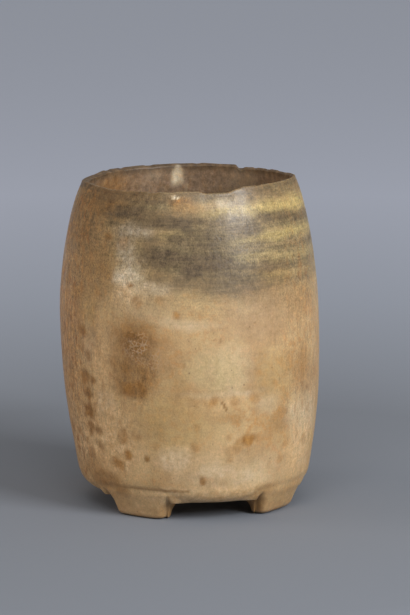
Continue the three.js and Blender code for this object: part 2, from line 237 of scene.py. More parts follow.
# Spots, from the rim down: azimuth, height, radius, strength
UMBER_SPOTS = (
    (-52.5, 121.5, 2, 0.9), (-71, 119.8, 1.7, 1), (-43.5, 119.8, 1.4, 0.9), (-82, 105, 2, 0.4),
    (-37.5, 102.3, 1.5, 0.9), (-73, 99, 2.2, 0.5), (-60.5, 87.5, 3, 0.4), (-66, 80.5, 3.6, 0.95),
    (48, 72, 1.5, 0.3), (-63, 70.5, 2.6, 0.6), (-65.5, 60.3, 4.3, 1), (24, 60, 1.6, 0.3),
    (-60, 59.6, 3, 1), (-64, 53.7, 3.4, 1), (-79, 53, 2.4, 0.4), (-64.5, 45.7, 4.2, 1),
    (34, 45.5, 2.4, 0.4), (-64.5, 38.3, 3.8, 0.8), (-60.5, 38, 3, 0.8), (15, 35.6, 2.6, 0.5),
    (-76, 35, 2.2, 0.4), (-60, 31.5, 2.6, 0.7), (-33.5, 28, 1.3, 0.9), (-67, 26.8, 2.6, 0.6),
    (-57, 19, 2.6, 0.5), (-6.5, 19, 2.4, 0.8),
)
RUST_SPOTS = (
    (-16.5, 138, 1.7, 0.8), (-43, 120, 2.6, 0.4), (-49, 105, 1.8, 0.5), (-39, 102, 1.6, 0.6),
    (-56, 97, 1.4, 0.5), (-24, 97, 2.4, 0.4), (-34.5, 95.3, 2.2, 0.5), (-16.5, 90.5, 2.2, 0.95),
    (62, 79, 2, 0.3), (31, 69, 2.2, 0.4), (20.5, 65.1, 2, 0.45), (-30, 62, 2.4, 0.3),
    (28.5, 59.9, 2, 0.45), (17.5, 54.8, 2.6, 0.5), (-9, 54, 1.8, 0.3), (-1.5, 53.7, 3, 0.65),
    (8, 52.7, 2.4, 0.55), (18, 48, 2.6, 0.4), (33, 46, 3, 0.5), (8, 45.5, 2.6, 0.45),
    (-9.5, 42.4, 2, 0.4), (5.5, 37.7, 1.6, 0.5), (-37.5, 36.6, 2.4, 0.4), (-45, 36.3, 3.4, 0.7),
    (15, 35.6, 3.6, 1), (-28, 34.2, 2, 0.35), (10, 34, 3.2, 0.65), (-10, 33.9, 2.2, 0.55),
    (36.5, 32.5, 2.2, 0.45), (7, 32, 3.4, 0.4), (53, 31, 2.6, 0.45), (-43, 28.8, 2.8, 0.85),
    (6, 27.8, 2, 0.5), (33.5, 25.1, 2, 0.55), (-50, 24.4, 3.6, 0.95), (-46, 20, 2, 0.5),
)
RIM_CHIPS = ((-19, 139.6, 1.4, 1), (-16.8, 139.2, 1, 0.9))
# Brown marks; the one from (-58, 14.2) to (-14, 14.2) runs along the groove over the ledge, partly brown
# and partly painted shade
# Thin marks: azimuth and height from, azimuth and height to, half width, strength
UMBER_AND_SHADE_STROKES = (
    (2.3, 53.4, 4.2, 50.2, 0.45, 0.9), (5.8, 92, 5.6, 89, 0.35, 0.6), (-31, 39, -31.5, 29.5, 0.6, 0.2),
    (48, 62.5, 48.5, 53.5, 0.55, 0.65), (-11, 111.5, -11, 108, 0.7, 0.85),
    (-14, 69.8, -14, 68.6, 0.5, 0.5), (2.4, 80, 2.6, 79, 0.5, 0.5), (-58, 14.2, -14, 14.2, 0.6, 0.6),
    (24.5, 7, 25.5, 1, 1.6, 0.9), (-75, 120, -69, 119, 0.7, 0.5), (29, 81, 29, 75, 0.4, 0.25),
)
PALE_STROKES = ((173.8, 132.8, 166.6, 126.8, 0.4, 0.2),)
# Where fine dark streaks run down the side, as soft patches
STREAK_PATCHES = (
    (-104, 75, 70, 120, 0.5), (-84, 75, 26, 110, 0.9), (52, 70, 22, 70, 0.5), (150, 70, 40, 60, 0.4),
    (-36, 68, 12, 22, 0.5), (-50, 60, 14, 60, 0.3),
)
# How the edges of the beds and patches wander: mm from bend to bend, and how far in degrees and in mm up
WIDE_BENDS = 11.0
WIDE_WANDER = (4.5, 2.0)
FINE_BENDS = 3.6
FINE_WANDER = (3.0, 1.4)
SPOT_WANDER = 1.6  # how far the spots follow the fine bends
SPOT_BENDS = 2.2
FRECKLED_AREA = 14.0  # mm across the areas with more or fewer freckles
OLIVE_RISE = (84, 104)  # the heights between which all of the stone turns half olive
RIM_DARK_BAND = (3.2, 1.3)  # how far below the rim the dark band begins and is full
RIM_SHADE_TURN = (60, 110)  # the azimuths, to either side, between which it grows to its full strength, towards the back as painted shade


def smoothstep(x, low, high):
    """From 0 at low to 1 at high, easing in and out."""
    t = np.clip((np.asarray(x, float) - low) / (high - low), 0.0, 1.0)
    return t * t * (3.0 - 2.0 * t)


def turned(azimuth):
    """The same azimuth between -180 and 180 degrees."""
    return (azimuth + 180.0) % 360.0 - 180.0


def bezier(a, b, c, d, count):
    """Points of a cubic curve, as rows of radius and height."""
    t = np.linspace(0.0, 1.0, count)[:, None]
    a, b, c, d = (np.array(p, float) for p in (a, b, c, d))
    return a * (1 - t) ** 3 + 3 * b * t * (1 - t) ** 2 + 3 * c * t * t * (1 - t) + d * t**3


def value_noise(points, size, seed):
    """Smooth random values from 0 to 1 over space, in cells of the given size (mm)."""
    cells = 32
    lattice = np.random.default_rng(seed).random((cells, cells, cells))
    cell = np.floor(points / size).astype(int)
    part = points / size - cell
    part = part * part * (3.0 - 2.0 * part)
    total = np.zeros(points.shape[:-1])
    for corner in np.ndindex(2, 2, 2):
        weight = np.prod(np.where(corner, part, 1.0 - part), axis=-1)
        x, y, z = np.moveaxis((cell + corner) % cells, -1, 0)
        total += weight * lattice[x, y, z]
    return total


def linear(hex_colour):
    """An sRGB colour, as #rrggbb, in linear light."""
    channels = (int(hex_colour[i:i + 2], 16) / 255 for i in (1, 3, 5))
    return [c / 12.92 if c <= 0.04045 else ((c + 0.055) / 1.055) ** 2.4 for c in channels] + [1.0]


def outer_wall():
    """The outside from the edge of the underside up to the lip, finely sampled."""
    lower = BELLY_HEIGHT - HEEL_HEIGHT
    upper = RIM_HEIGHT - BELLY_HEIGHT
    lean = 2 * (BELLY_RADIUS - HEEL_RADIUS) / lower
    heel = (HEEL_RADIUS, HEEL_HEIGHT)
    belly = (BELLY_RADIUS, BELLY_HEIGHT)
    shoulder = RIM_RADIUS + SHOULDER_FULLNESS * (BELLY_RADIUS - RIM_RADIUS)
    return np.vstack([
        bezier(
            (BASE_RADIUS, FOOT_HEIGHT),
            (BASE_RADIUS + HEEL_FULLNESS * (HEEL_RADIUS - BASE_RADIUS), FOOT_HEIGHT + 0.2 * HEEL_RISE),
            (HEEL_RADIUS - 0.5 * HEEL_RISE * lean, FOOT_HEIGHT + 0.5 * HEEL_RISE),
            heel, 40)[:-1],
        bezier(
            heel,
            (HEEL_RADIUS + 0.3 * lower * lean, HEEL_HEIGHT + 0.3 * lower),
            (BELLY_RADIUS, BELLY_HEIGHT - LOWER_FULLNESS * lower),
            belly, 60)[:-1],
        bezier(
            belly,
            (BELLY_RADIUS, BELLY_HEIGHT + UPPER_FULLNESS * upper),
            (shoulder, RIM_HEIGHT - 0.3 * upper),
            (RIM_RADIUS, RIM_HEIGHT - LIP_ROUNDING), 60),
    ])


def lip():
    """Over the lip, between its outer and its inner edge: two quarter rounds, the inner one worn lower."""
    quarter = np.linspace(0.0, np.pi / 2, LIP_ROWS // 2 + 2)[1:]
    outer = np.column_stack([
        RIM_RADIUS - LIP_ROUNDING * (1.0 - np.cos(quarter)),
        RIM_HEIGHT - LIP_ROUNDING * (1.0 - np.sin(quarter))])
    mouth = RIM_RADIUS - LIP_THICKNESS
    inner = np.column_stack([
        mouth + LIP_ROUNDING * (1.0 - np.sin(quarter[:-1])),
        RIM_HEIGHT - LIP_SLOPE - LIP_ROUNDING * (1.0 - np.cos(quarter[:-1]))])
    return np.vstack([outer, inner])


def inner_wall():
    """The hollow from the lip's inner edge down to the middle of its floor, finely sampled."""
    mouth = RIM_RADIUS - LIP_THICKNESS
    belly = BELLY_RADIUS - BELLY_WALL
    heel = HEEL_RADIUS - HEEL_WALL
    floor = FOOT_HEIGHT + FLOOR_THICKNESS
    corner_top = floor + FLOOR_CORNER
    upper = RIM_HEIGHT - BELLY_HEIGHT
    lower = BELLY_HEIGHT - corner_top
    corner_end = heel - 1.2 * FLOOR_CORNER
    return np.vstack([
        bezier(
            (mouth, RIM_HEIGHT - LIP_SLOPE - LIP_ROUNDING),
            (mouth + 0.3 * (belly - mouth), RIM_HEIGHT - 0.25 * upper),
            (belly, BELLY_HEIGHT + 0.5 * upper),
            (belly, BELLY_HEIGHT), 50)[:-1],
        bezier(
            (belly, BELLY_HEIGHT),
            (belly, BELLY_HEIGHT - 0.4 * lower),
            (heel + 0.25 * (belly - heel), corner_top + 0.3 * lower),
            (heel, corner_top), 50)[:-1],
        bezier(
            (heel, corner_top),
            (heel - 0.1 * FLOOR_CORNER, corner_top - 0.6 * FLOOR_CORNER),
            (heel - 0.55 * FLOOR_CORNER, floor),
            (corner_end, floor), 30)[:-1],
        bezier(
            (corner_end, floor),
            (0.7 * corner_end, floor - 0.5 * FLOOR_DISH),
            (0.3 * corner_end, floor - FLOOR_DISH),
            (0.0, floor - FLOOR_DISH), 20),
    ])


def resampled(points, count):
    """The same run of points, evenly spaced."""
    steps = np.hypot(*np.diff(points, axis=0).T)
    s = np.concatenate([[0.0], np.cumsum(steps)])
    at = np.linspace(0.0, s[-1], count)
    return np.column_stack([np.interp(at, s, points[:, 0]), np.interp(at, s, points[:, 1])])


def rim_wear(azimuth):
    """How much of the rim's height is worn away."""
    worn = np.zeros_like(azimuth)
    for start, end, depth, fade_in, fade_out in RIM_WEAR:
        past = (azimuth - start) % 360.0
        width = end - start
        worn = np.maximum(
            worn, depth * smoothstep(past, 0, fade_in) * (1.0 - smoothstep(past, width - fade_out, width)))
    return worn


def rim_flakes(azimuth):
    """How deep the small flakes and the ragged edge between them go."""
    angle = np.radians(azimuth)
    ring = RIM_RADIUS * np.stack([np.sin(angle), np.cos(angle), np.zeros_like(angle)], -1)
    fine, wide = RAGGED_BENDS
    lost = RAGGED_DEPTH * value_noise(ring, fine, 5) * value_noise(ring, wide, 6)
    for middle, width, depth in RIM_FLAKES:
        away = np.abs(turned(azimuth - middle)) / (width / 2)
        lost = lost + depth * (1.0 - smoothstep(away, 0.3, 1.0))
    return lost


def foot_rise(beside, behind, edge):
    """How high the stone lies over the ground near a foot, from the distances beside and behind its sole.

    Both are negative over the sole. Its edge is worn round, and its sides flare out up to the underside.
    """
    u, v = beside + SOLE_CORNER, behind + SOLE_CORNER
    round_corner = np.hypot(np.maximum(u, 0.0), np.maximum(v, 0.0))
    away = round_corner + np.minimum(np.maximum(u, v), 0.0) - SOLE_CORNER
    flare = FLARE_SIDE + (FLARE_BACK - FLARE_SIDE) * np.maximum(v, 0.0) / np.maximum(round_corner, 0.01)
    worn = np.clip(away / edge + 1.0, 0.0, 1.0)
    side = np.clip(away / flare, 0.0, 1.0) ** (1 / FLARE_BEND)
    return edge * (1.0 - np.sqrt(1.0 - worn**2)) + (FOOT_HEIGHT - edge) * side


def columns_round():
    """Azimuths of the columns, closer together at the sides of the feet."""
    steps = 7200
    fine = np.arange(steps) * (360.0 / steps) - 180.0
    away = np.min([np.abs(turned(fine - foot[0])) for foot in FEET], axis=0)
    beside = np.radians(away) * BASE_RADIUS - (SOLE_WIDTH + FLARE_SIDE) / 2
    share = np.cumsum(1.0 + CROWDING * np.exp(-(beside / CROWDED_WIDTH) ** 2))
    return np.interp((np.arange(COLUMNS) + 0.5) / COLUMNS, share / share[-1], fine)


def nearest_foot(azimuth):
    """Each column's distance from the middle of its nearest foot, and that foot's depth and worn edge."""
    from_foot = np.array([turned(azimuth - foot[0]) for foot in FEET])
    nearest = np.argmin(np.abs(from_foot), axis=0)
    depth, worn_edge = np.array([foot[1:] for foot in FEET])[nearest].T
    along = np.abs(np.radians(from_foot[nearest, np.arange(COLUMNS)])) * BASE_RADIUS
    return along, depth, worn_edge


def ledge_round(azimuth, along):
    """How high the ledge lies in each column, and how much of it is left there."""
    share = 1.0 - smoothstep(along, FOOT_SIDE - 0.5, FOOT_SIDE + LEDGE_FADE)
    angle = np.radians(azimuth)
    edge = BASE_RADIUS * np.stack([np.sin(angle), np.cos(angle), 0 * angle], -1)
    sway = LEDGE_SWAY * (value_noise(edge, LEDGE_BEND, 8) - 0.5)
    return FOOT_HEIGHT + (LEDGE_RISE + sway) * share, share


def wall_radius(z):
    """The radius of the body's wall, without feet or ledge."""
    wall = outer_wall()
    return np.interp(z, wall[:, 1], wall[:, 0])


def slant_radius(z):
    """The radius of the straight slant from the edge of a sole up to the ledge."""
    return SOLE_RADIUS + (wall_radius(FULL_LEDGE) - SOLE_RADIUS) * z / FULL_LEDGE


def edge_loss(z, worn_edge):
    """How much the worn round edge of a sole takes off its faces."""
    return worn_edge * (1.0 - np.sqrt(1.0 - np.clip(1.0 - z / worn_edge, 0.0, 1.0) ** 2))


def corner_loss(z, along, worn_edge):
    """How much the round corners of the feet take off the radius."""
    over_sole = np.clip((z - worn_edge) / (FOOT_HEIGHT - worn_edge), 0.0, 1.0)
    side = SOLE_WIDTH / 2 + FLARE_SIDE * over_sole**FLARE_BEND - edge_loss(z, worn_edge)
    past_side = np.clip(along - side + SOLE_CORNER, 0.0, SOLE_CORNER)
    corner = SOLE_CORNER - np.sqrt(SOLE_CORNER**2 - past_side**2)
    corner = corner * (1.0 - smoothstep(along, FOOT_SIDE, FOOT_SIDE + 2.5))
    return corner * (1.0 - smoothstep(z, FOOT_HEIGHT - 2.0, FULL_LEDGE))


def foot_face(z, along, worn_edge):
    """The radius of the outer faces of the feet, ground a little flat."""
    flattened = FACE_FLATNESS * np.minimum(along, FOOT_SIDE) ** 2 / (2 * BASE_RADIUS)
    return slant_radius(z) - edge_loss(z, worn_edge) + flattened * (1.0 - smoothstep(z, 0.0, FOOT_HEIGHT))


def heel_face(z, ledge, ledge_share):
    """The radius over the feet: the band up to the ledge, the groove over it and the turned-in heel."""
    root = BASE_RADIUS + (slant_radius(FOOT_HEIGHT) - BASE_RADIUS) * ledge_share
    up = np.clip((z - FOOT_HEIGHT) / np.maximum(ledge - FOOT_HEIGHT, 1e-3), 0.0, 1.0)
    band = root + (wall_radius(ledge) - root) * up
    body = wall_radius(z)
    groove, swell = (
        depth * ledge_share * np.exp(-(((z - ledge - rise) / half_width) ** 2))
        for depth, rise, half_width in (LEDGE_GROOVE, LEDGE_SWELL))
    return np.where(z < ledge, np.maximum(band, body), body) - groove + swell


def low_radius(z, along, worn_edge, ledge, ledge_share):
    """The outside's radius in every column, at its height from the sole to the top of the heel."""
    face = np.where(z < FOOT_HEIGHT, foot_face(z, along, worn_edge), heel_face(z, ledge, ledge_share))
    return face - corner_loss(z, along, worn_edge)


def low_rows(azimuth):
    """Radii and heights of the rows over the underside and up the feet and the heel."""
    along, depth, worn_edge = nearest_foot(azimuth)
    columns = (along, worn_edge, *ledge_round(azimuth, along))
    bottom = foot_rise(along - SOLE_WIDTH / 2, -depth, worn_edge)
    edge_radius = low_radius(bottom, *columns)
    radii, heights = [], []
    inner_share = np.linspace(0.0, 0.5, UNDER_ROWS // 4)
    outer_share = np.linspace(0.5, 0.985, UNDER_ROWS - len(inner_share) + 1)[1:]
    for share in np.concatenate([inner_share, outer_share]):
        r = edge_radius * share
        beside = along * np.maximum(r, 1.0) / BASE_RADIUS - SOLE_WIDTH / 2
        radii.append(r)
        heights.append(foot_rise(beside, SOLE_RADIUS - depth - r, worn_edge))
    for t in np.linspace(0.0, 1.0, FACE_ROWS):
        z = bottom + (HEEL_HEIGHT - bottom) * t
        radii.append(low_radius(z, *columns))
        heights.append(z)
    return radii, heights


def stone_rows():
    """Radius and height over azimuth (columns) and along the section (rows), and which rows are inside."""
    azimuth = columns_round()
    radii, heights = low_rows(azimuth)
    wall = outer_wall()
    over_lip = lip()
    hollow = resampled(inner_wall(), HOLLOW_ROWS)
    above = resampled(wall[wall[:, 1] > HEEL_HEIGHT + 0.3], WALL_ROWS)
    for r, z in np.vstack([above, over_lip, hollow]):
        radii.append(np.full(COLUMNS, r))
        heights.append(np.full(COLUMNS, z))
    inside = np.zeros(len(radii), bool)
    inside[-(len(hollow) + len(over_lip) // 2):] = True
    return azimuth, np.array(radii), np.array(heights), inside


def hand_ground(azimuth, radii, heights, inside):
    """The points (mm) of the stone, with the lean, off-centre hollow and uneven rim of handwork."""
    angle = np.radians(azimuth)
    low = 1.0 - smoothstep(heights, FOOT_HEIGHT, LEAN_TOP)
    oval = OVALNESS / BELLY_RADIUS * np.cos(np.radians(2 * (azimuth - OVAL_AZIMUTH)))
    stretch = 1.0 + oval * (1.0 - low)
    bored = inside[:, None]
    slope = RIM_SLOPE * np.cos(np.radians(azimuth - RIM_SLOPE_AZIMUTH))
    sloped = smoothstep(heights, RIM_HEIGHT - RIM_SLOPE_DEPTH, RIM_HEIGHT)
    worn = smoothstep(heights, RIM_HEIGHT - RIM_WEAR_DEPTH, RIM_HEIGHT)
    flaked = smoothstep(heights, RIM_HEIGHT - FLAKE_REACH, RIM_HEIGHT)
    x = radii * np.sin(angle) * stretch + low * BASE_SHIFT[0] + bored * BORE_SHIFT[0]
    y = -radii * np.cos(angle) * stretch + low * BASE_SHIFT[1] + bored * BORE_SHIFT[1]
    z = heights + sloped * slope - worn * rim_wear(azimuth) - flaked * rim_flakes(azimuth)
    return np.stack([x, y, z], axis=-1)


def layers(azimuth, height, beds):
    """How strongly beds of the stone show."""
    shown = np.zeros_like(height)
    for knots in beds:
        at, middle, half, strength = np.array(knots, float).T
        along = (azimuth - at[0]) % 360.0 + at[0]
        away = (height - np.interp(along, at, middle)) / np.interp(along, at, half)
        shown = np.maximum(shown, np.interp(along, at, strength) * np.exp(-away**2))
    return shown


def patches(azimuth, height, marks, raggedness=1.0):
    """How strongly soft-edged oval patches show."""
    shown = np.zeros_like(height)
    for at, up, half_width, half_height, strength in marks:
        away = np.hypot(turned(azimuth - at) / half_width, (height - up) / half_height) * raggedness
        shown = np.maximum(shown, strength * (1.0 - smoothstep(away, 0.35, 1.3)))
    return shown


def spots(azimuth, height, marks, raggedness):
    """How strongly round spots show."""
    ovals = [
        (at, up, np.degrees(radius / BELLY_RADIUS), radius, strength)
        for at, up, radius, strength in marks]
    return patches(azimuth, height, ovals, raggedness)


def strokes(azimuth, height, marks):
    """How strongly thin straight marks show."""
    shown = np.zeros_like(height)
    for start_at, start_up, end_at, end_up, half_width, strength in marks:
        across, up = turned(azimuth - start_at), height - start_up
        dx, dz = end_at - start_at, end_up - start_up
        t = np.clip((across * dx + up * dz) / (dx * dx + dz * dz), 0.0, 1.0)
        away = np.hypot(across - t * dx, up - t * dz) / half_width
        shown = np.maximum(shown, strength * (1.0 - smoothstep(away, 0.6, 1.6)))
    return shown


def tints(points, azimuth, heights, inside):
    """How much of each of the stone's colours shows at each point, from 0 to 1."""
    wide = [value_noise(points, WIDE_BENDS, seed) - 0.5 for seed in (1, 2)]
    fine = [value_noise(points, FINE_BENDS, seed) - 0.5 for seed in (3, 4)]
    ragged = 0.55 + 0.9 * value_noise(points, SPOT_BENDS, 7)
    around = azimuth + WIDE_WANDER[0] * wide[0] + FINE_WANDER[0] * fine[0]
    up = heights + WIDE_WANDER[1] * wide[1] + FINE_WANDER[1] * fine[1]
    close = azimuth + SPOT_WANDER * fine[0]
    level = heights + SPOT_WANDER * fine[1]
    out = ~inside[:, None] * smoothstep(heights, FOOT_HEIGHT - 1.0, FOOT_HEIGHT + 1.0)
    within = np.broadcast_to(inside[:, None], heights.shape)
    umber_and_shade = np.maximum.reduce([
        patches(around, up, UMBER_AND_SHADE_PATCHES), spots(close, level, UMBER_SPOTS, ragged),
        strokes(azimuth, heights, UMBER_AND_SHADE_STROKES)])
    rust = np.maximum(patches(around, up, RUST_PATCHES), spots(close, level, RUST_SPOTS, ragged))
    pale = np.maximum(patches(around, up, HOLLOW_PALE), strokes(azimuth, heights, PALE_STROKES))
    return {
        "hollow": within * 1.0,
        "freckle": out * (0.25 + 0.5 * value_noise(points, FRECKLED_AREA, 9)),
        "streak": np.where(within, 0.2, out * patches(around, up, STREAK_PATCHES)),
        "olive": out * np.maximum(patches(around, up, OLIVE_PATCHES), 0.5 * smoothstep(up, *OLIVE_RISE)),
        "grey": out * np.maximum(layers(around, up, GREY_LAYERS), patches(around, up, GREY_PATCHES)),
        "ochre": out * np.maximum(layers(around, up, OCHRE_LAYERS), patches(around, up, OCHRE_PATCHES)),
        "honey_and_painted_light": patches(around, up, HONEY_AND_PAINTED_LIGHT_PATCHES) * ~inside[:, None],
        "ash": out * patches(around, up, ASH_PATCHES),
        "cream_and_painted_light": out * patches(around, up, CREAM_AND_PAINTED_LIGHT_PATCHES),
        "umber_and_shade": np.where(within, patches(around, up, HOLLOW_UMBER), umber_and_shade),
        "rust": np.where(within, patches(around, up, HOLLOW_RUST), rust),
        "chip": np.where(within, pale, spots(close, level, RIM_CHIPS, ragged)),
        "crust": out * patches(close, level, CRUST_PATCHES),
        # a dark band under the lip all round, deepened towards the back as painted shade
        "edge": smoothstep(RIM_HEIGHT - heights, *RIM_DARK_BAND) * (
            0.45 + 0.55 * smoothstep(np.abs(azimuth), *RIM_SHADE_TURN)),
        "sole": 1.0 - smoothstep(heights, 0.2, FOOT_HEIGHT + 2.0),
        "free": smoothstep(points[..., 2], 0.6, 5.0),
    }


def skin(grid):
    """Quads over a grid of points whose rows close on themselves, and a fan over each of its ends."""
    rows, columns = grid.shape[:2]
    ring = np.arange(columns)
    after = np.roll(ring, -1)
    low = np.arange(rows - 1)[:, None] * columns
    high = low + columns
    quads = np.stack([low + ring, low + after, high + after, high + ring], -1).reshape(-1, 4)
    first, last = rows * columns, rows * columns + 1
    top = (rows - 1) * columns
    sides = list(zip(ring.tolist(), after.tolist()))
    fans = [(first, b, a) for a, b in sides] + [(last, top + a, top + b) for a, b in sides]
    return quads.tolist() + fans


def build_stone():
    """The whole vase as one mesh, with its tints as attributes of its points."""
    azimuth, radii, heights, inside = stone_rows()
    points = hand_ground(azimuth, radii, heights, inside)
    tint = tints(points, np.broadcast_to(azimuth, heights.shape), heights, inside)
    grid = points[1:-1]
    ends = np.array([points[0].mean(axis=0), points[-1].mean(axis=0)])
    mesh = bpy.data.meshes.new("vase_stone")
    mesh.from_pydata((np.vstack([grid.reshape(-1, 3), ends]) * MM).tolist(), [], skin(grid))
    mesh.update()
    mesh.shade_smooth()
    for name, amount in tint.items():
        values = np.concatenate([amount[1:-1].ravel(), [amount[0].mean(), amount[-1].mean()]])
        mesh.attributes.new(name, "FLOAT", "POINT").data.foreach_set("value", values.astype(np.float32))
    piece = bpy.data.objects.new("vase_stone", mesh)
    bpy.context.scene.collection.objects.link(piece)
    return piece


def add(tree, kind, inputs=None, **settings):
    """One node with its settings; each input is given a value, or the socket it is linked from."""
    made = tree.nodes.new(kind)
    for name, value in settings.items():
        setattr(made, name, value)
    for key, value in (inputs or {}).items():
        if isinstance(value, bpy.types.NodeSocket):
            tree.links.new(value, made.inputs[key])
        else:
            made.inputs[key].default_value = value
    return made


def low_waves(tree, place, given):
    """The height of the low waves that hand grinding leaves."""
    scale = add(tree, "ShaderNodeMath", {0: 1.0, 1: given["Wave Width"]}, operation="DIVIDE")
    wave = add(tree, "ShaderNodeTexNoise", {
        "Vector": place, "W": given["Seed"], "Scale": scale.outputs[0], "Detail": 2.0,
    }, noise_dimensions="4D")
    level = add(tree, "ShaderNodeMapRange", {
        "Value": wave.outputs[0], "From Min": 0.2, "From Max": 0.8, "To Min": -1.0, "To Max": 1.0,
    }, clamp=False)
    return add(tree, "ShaderNodeMath", {
        0: level.outputs[0], 1: given["Wave Height"]}, operation="MULTIPLY").outputs[0]


def shallow_pits(tree, place, given):
    """The depth of the round pits that weak grains left, in some of the cells over the stone."""
    scale = add(tree, "ShaderNodeMath", {0: 1.0, 1: given["Pit Spacing"]}, operation="DIVIDE")
    cells = add(tree, "ShaderNodeTexVoronoi", {
        "Vector": place, "W": given["Seed"], "Scale": scale.outputs[0]}, voronoi_dimensions="4D")
    reach = add(tree, "ShaderNodeMath", {
        0: given["Pit Radius"], 1: scale.outputs[0]}, operation="MULTIPLY")
    bowl = add(tree, "ShaderNodeMapRange", {
        "Value": cells.outputs["Distance"], "From Min": 0.0, "From Max": reach.outputs[0],
        "To Min": 1.0, "To Max": 0.0}, interpolation_type="SMOOTHSTEP")
    chance = add(tree, "ShaderNodeSeparateXYZ", {"Vector": cells.outputs["Color"]})
    chosen = add(tree, "ShaderNodeMath", {
        0: chance.outputs[0], 1: given["Pit Share"]}, operation="LESS_THAN")
    pit = add(tree, "ShaderNodeMath", {0: bowl.outputs[0], 1: chosen.outputs[0]}, operation="MULTIPLY")
    return add(tree, "ShaderNodeMath", {
        0: pit.outputs[0], 1: given["Pit Depth"]}, operation="MULTIPLY").outputs[0]


def thin_crust(tree, place, given):
    """The height of the scaly crust, where the crust is marked on the stone."""
    scale = add(tree, "ShaderNodeMath", {0: 1.0, 1: given["Crust Grain"]}, operation="DIVIDE")
    scales = add(tree, "ShaderNodeTexNoise", {
        "Vector": place, "W": given["Seed"], "Scale": scale.outputs[0], "Detail": 3.0,
    }, noise_dimensions="4D")
    where = add(tree, "GeometryNodeInputNamedAttribute", {"Name": "crust"}, data_type="FLOAT")
    crust = add(tree, "ShaderNodeMath", {0: scales.outputs[0], 1: where.outputs[0]}, operation="MULTIPLY")
    return add(tree, "ShaderNodeMath", {
        0: crust.outputs[0], 1: given["Crust Height"]}, operation="MULTIPLY").outputs[0]


def worn_surface():
    """Low waves, pits and crusts on a smooth stone, as hand grinding and wear leave them."""
    tree = bpy.data.node_groups.new("worn_surface", "GeometryNodeTree")
    tree.interface.new_socket("Geometry", in_out="INPUT", socket_type="NodeSocketGeometry")
    for name in ("Wave Width", "Wave Height", "Pit Spacing", "Pit Radius", "Pit Depth", "Pit Share",
                 "Crust Grain", "Crust Height", "Seed"):
        tree.interface.new_socket(name, in_out="INPUT", socket_type="NodeSocketFloat")
    tree.interface.new_socket("Material", in_out="INPUT", socket_type="NodeSocketMaterial")
    tree.interface.new_socket("Geometry", in_out="OUTPUT", socket_type="NodeSocketGeometry")
    given = add(tree, "NodeGroupInput").outputs
    place = add(tree, "GeometryNodeInputPosition").outputs[0]
    waves = low_waves(tree, place, given)
    pits = shallow_pits(tree, place, given)
    crust = thin_crust(tree, place, given)
    raised = add(tree, "ShaderNodeMath", {0: waves, 1: crust}, operation="ADD")
    relief = add(tree, "ShaderNodeMath", {0: raised.outputs[0], 1: pits}, operation="SUBTRACT")
    free = add(tree, "GeometryNodeInputNamedAttribute", {"Name": "free"}, data_type="FLOAT")
    height = add(tree, "ShaderNodeMath", {0: relief.outputs[0], 1: free.outputs[0]}, operation="MULTIPLY")
    outwards = add(tree, "GeometryNodeInputNormal")
    offset = add(tree, "ShaderNodeVectorMath", {
        0: outwards.outputs[0], "Scale": height.outputs[0]}, operation="SCALE")
    moved = add(tree, "GeometryNodeSetPosition", {
        "Geometry": given["Geometry"], "Offset": offset.outputs[0]})
    whole = add(tree, "GeometryNodeRealizeInstances", {"Geometry": moved.outputs[0]})
    finished = add(tree, "GeometryNodeSetMaterial", {
        "Geometry": whole.outputs[0], "Material": given["Material"]})
    add(tree, "NodeGroupOutput", {"Geometry": finished.outputs[0]})
    return tree


def weathered(piece, sizes):
    """The same piece with the worn surface applied to its mesh."""
    tree = worn_surface()
    modifier = piece.modifiers.new("worn_surface", "NODES")
    modifier.node_group = tree
    for socket in tree.interface.items_tree:
        if socket.in_out == "INPUT" and socket.name in sizes:
            modifier[socket.identifier] = sizes[socket.name]
    graph = bpy.context.evaluated_depsgraph_get()
    mesh = bpy.data.meshes.new_from_object(
        piece.evaluated_get(graph), preserve_all_data_layers=True, depsgraph=graph)
    piece.modifiers.remove(modifier)
    piece.data = mesh
    mesh.name = piece.name
    return piece


# The stone's textures: the size of their features in mm across, in depth and upwards, how many finer
# octaves they have, and the tilt of their beds. The real marks of the grinding grit are too fine to show,
# so they are drawn 0.5 mm coarse.
CALCITE_TEXTURES = {
    "clouds": ((24.0, 24.0, 24.0), 4.0, 0.0),
    "mottle": ((5.0, 5.0, 5.0), 5.0, 0.0),
    "blots": ((2.4, 2.4, 2.4), 4.0, 0.0),
    "beds": ((30.0, 30.0, 3.0), 4.0, 0.03),
    "striae": ((2.2, 2.2, 4.6), 4.0, 0.0),
    "hairs": ((1.2, 1.2, 8.0), 2.0, 0.0),
    "grain": ((0.9, 0.9, 0.9), 2.0, 0.0),
    "grit": ((0.5, 0.5, 0.8), 2.0, 0.0),
    "scratches": ((9.0, 9.0, 0.7), 3.0, 0.02),
}
DRIFT_SIZE = 9.0  # mm between the bends that keep every texture from running straight
DRIFT = 2.0  # mm that they shift it either way
GROUND_TONES = ("#b58f60", "#cfb080")
